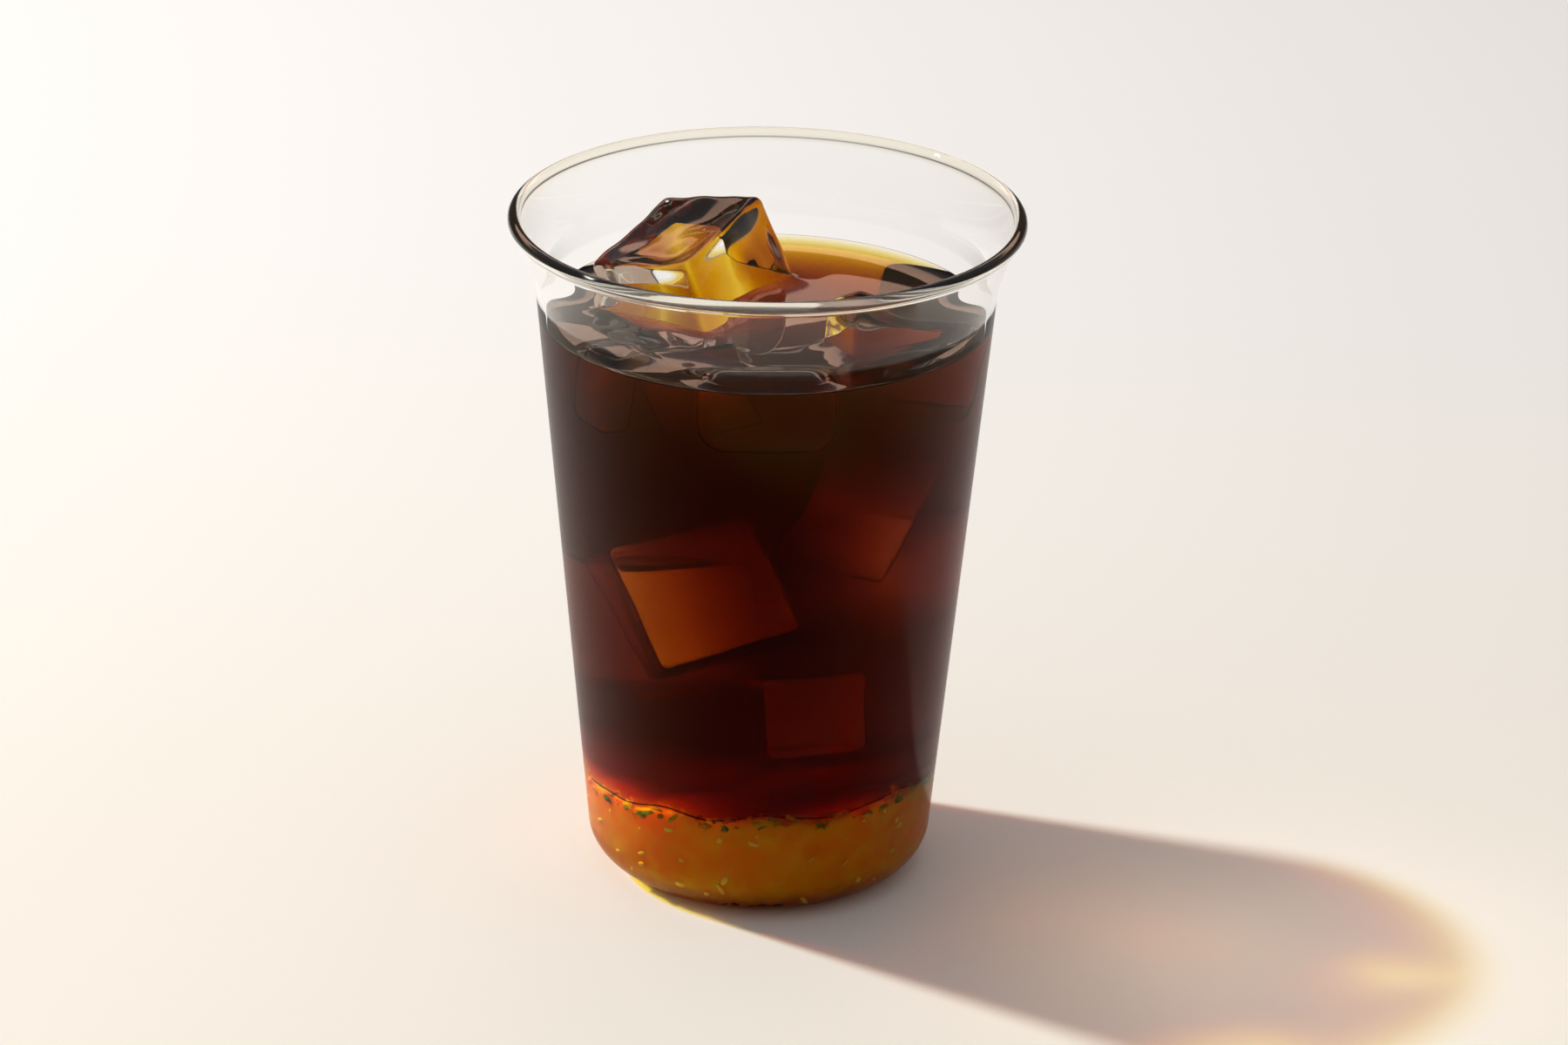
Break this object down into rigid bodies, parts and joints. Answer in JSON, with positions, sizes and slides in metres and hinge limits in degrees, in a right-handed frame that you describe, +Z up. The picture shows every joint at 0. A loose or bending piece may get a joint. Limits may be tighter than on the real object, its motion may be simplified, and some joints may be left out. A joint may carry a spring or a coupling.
{
  "type": "iced coffee in a glass",
  "caption": "Iced coffee on a layer of citrus fruit in a thin flared glass tumbler, with melting ice blocks that break the surface.",
  "frame": {"origin": "centre of the underside of the tumbler, on the surface that it stands on", "axes": "+Z up along the tumbler's axis; -Y towards the viewer of the picture, +X to the viewer's right"},
  "size_m": [0.085, 0.085, 0.1158],
  "materials": {
    "clear_glass": "clear colourless glass, polished, with a faint green edge",
    "coffee": "clear black coffee, near black in the middle and amber where it is thin",
    "fruit": "translucent golden citrus pulp and syrup with pale flecks",
    "ice": "clear melting ice, wet and smooth"
  },
  "bodies": {
    "root": {"tumbler": "clear_glass", "fruit_layer": "fruit", "coffee": "coffee", "ice_back_left": "ice", "ice_right": "ice", "ice_front_left": "ice", "ice_left": "ice", "ice_front": "ice"}
  },
  "joints": []
}
